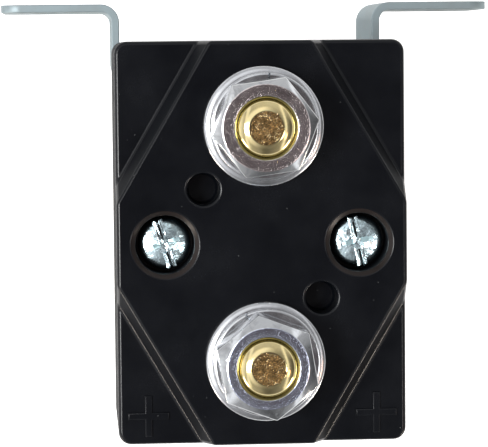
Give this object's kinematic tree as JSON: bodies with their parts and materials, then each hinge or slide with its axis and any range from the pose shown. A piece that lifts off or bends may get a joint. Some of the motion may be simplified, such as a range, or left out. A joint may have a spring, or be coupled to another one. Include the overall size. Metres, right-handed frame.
{
  "type": "dc contactor",
  "caption": "Compact DC contactor with stud terminals on a black moulded housing, an open coil frame below it and a bent bracket for panel mounting.",
  "frame": {"origin": "on the plunger axis at the underside of the magnet frame", "axes": "+Z along the terminal studs, away from the coil; +Y towards the panel that the bracket is screwed to; +X across the line of the studs"},
  "size_m": [0.0746, 0.0666, 0.0791],
  "materials": {
    "moulding": "semi-gloss black thermoset moulding",
    "stud_brass": "bright brass-coloured plating with a dull end face",
    "nut_plating": "bright zinc plating with a violet-grey cast",
    "washer_plating": "bright zinc plating",
    "screw_plating": "bright zinc plating with a faint teal cast",
    "frame_steel": "zinc plated mild steel",
    "bracket_zinc": "zinc plated sheet with a blue-grey cast",
    "silver": "silver alloy contact tips",
    "magnet": "dark sintered magnet",
    "bobbin_plastic": "dark glass-filled nylon",
    "copper": "copper",
    "tape": "amber polyester tape",
    "tinned": "tinned brass",
    "lead_sleeve": "red fibre sleeve",
    "sleeve_brass": "drawn brass tube",
    "pole_steel": "nickel plated soft iron",
    "stainless": "drawn stainless steel",
    "rubber": "black rubber",
    "spring_steel": "spring steel wire",
    "insulator": "natural nylon",
    "clip_steel": "blackened spring steel"
  },
  "bodies": {
    "magnet_frame": {"housing": "moulding", "chamber_base": "moulding", "terminal_studs": "stud_brass", "fixed_contact_tips": "silver", "stud_flat_washers": "washer_plating", "stud_spring_washers": "washer_plating", "stud_nuts": "nut_plating", "cover_screws": "screw_plating", "screw_spring_washers": "washer_plating", "blowout_magnets": "magnet", "top_plate": "frame_steel", "yoke": "frame_steel", "bobbin": "bobbin_plastic", "coil_winding": "copper", "coil_tape": "tape", "coil_terminals": "tinned", "coil_leads": "lead_sleeve", "guide_sleeve": "sleeve_brass", "fixed_pole": "pole_steel", "plunger_stop": "rubber", "return_spring": "spring_steel", "mounting_bracket": "bracket_zinc", "bracket_rivets": "washer_plating"},
    "plunger": {"plunger": "pole_steel", "spindle": "stainless", "spring_seat": "insulator", "spindle_clip": "clip_steel", "contact_spring": "spring_steel"},
    "bridge": {"contact_bridge": "copper", "bridge_tips": "silver", "contact_bush": "insulator", "bush_washer": "insulator"}
  },
  "joints": [
    {"name": "plunger_slide", "type": "slide", "parent": "magnet_frame", "child": "plunger", "axis": [0, 0, 1], "range_m": [0, 0.00316], "stiffness_N_per_m": 500, "springref_m": -0.006, "deforming": ["return_spring"]},
    {"name": "bridge_slide", "type": "slide", "parent": "plunger", "child": "bridge", "axis": [0, 0, 1], "range_m": [-0.0008, 0], "stiffness_N_per_m": 800, "springref_m": 0.004, "deforming": ["contact_spring"]}
  ],
  "couplings": [
    {"joint": "bridge_slide", "follows": "plunger_slide", "ratio": -0.25}
  ]
}
